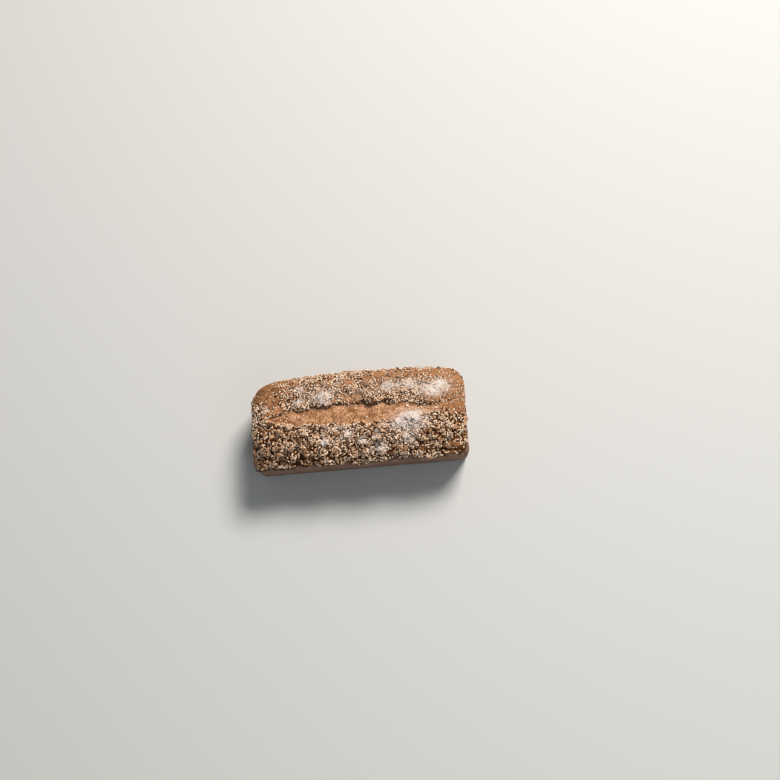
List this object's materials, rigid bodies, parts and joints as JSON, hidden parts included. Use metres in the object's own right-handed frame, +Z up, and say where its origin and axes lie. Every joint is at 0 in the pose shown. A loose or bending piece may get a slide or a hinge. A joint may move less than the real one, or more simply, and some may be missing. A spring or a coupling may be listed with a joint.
{
  "type": "seeded spelt loaf",
  "caption": "Whole tin-baked bread loaf with smooth tapered sides, a domed top torn open by a long split, and a crust covered in sesame and sunflower seeds.",
  "frame": {"origin": "on the flat base, under the middle of the dome", "axes": "+X along the loaf, +Y to the side away from the viewer of the picture, +Z up"},
  "size_m": [0.2552, 0.1148, 0.0882],
  "materials": {
    "crust": "matt baked crust with seeds and a little flour"
  },
  "bodies": {
    "root": {"loaf": "crust"}
  },
  "joints": []
}
